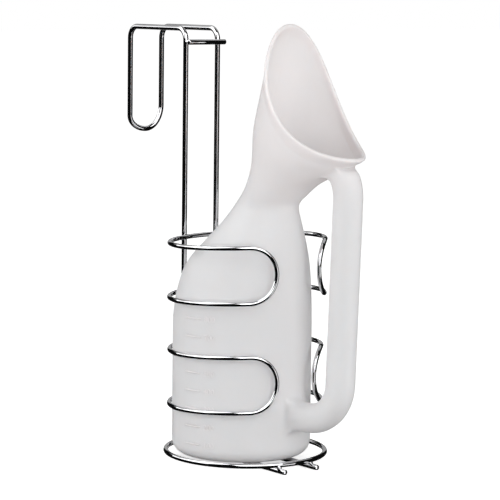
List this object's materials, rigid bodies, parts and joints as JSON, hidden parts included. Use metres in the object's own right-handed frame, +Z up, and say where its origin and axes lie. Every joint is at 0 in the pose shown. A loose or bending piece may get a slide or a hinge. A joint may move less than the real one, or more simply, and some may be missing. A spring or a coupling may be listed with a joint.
{
  "type": "urine bottle",
  "caption": "Translucent plastic urine bottle with slanted oval mouth and tubular handle, standing in a chromed wire holder that hooks over a bed rail.",
  "frame": {"origin": "on the floor under the middle of the whole object's bounding box, holder and bottle together", "axes": "+Z up; +X forward, from the bed-rail hook to the open side of the clips where the handle stands; +Y to the right as seen from the front, looking back at the hook"},
  "size_m": [0.2386, 0.1212, 0.3206],
  "materials": {
    "chromed_wire": "bright chrome plate on drawn steel wire",
    "milky_plastic": "satin, milky translucent blow-moulded polyethylene"
  },
  "bodies": {
    "holder": {"hanger_wire": "chromed_wire", "crossbar": "chromed_wire", "upper_clip_loop": "chromed_wire", "lower_clip_loop": "chromed_wire", "base_ring": "chromed_wire"},
    "bottle": {"bottle": "milky_plastic"}
  },
  "joints": [
    {"name": "bottle_lift", "type": "slide", "parent": "holder", "child": "bottle", "axis": [0, 0, 1], "range_m": [0, 0.17]}
  ]
}
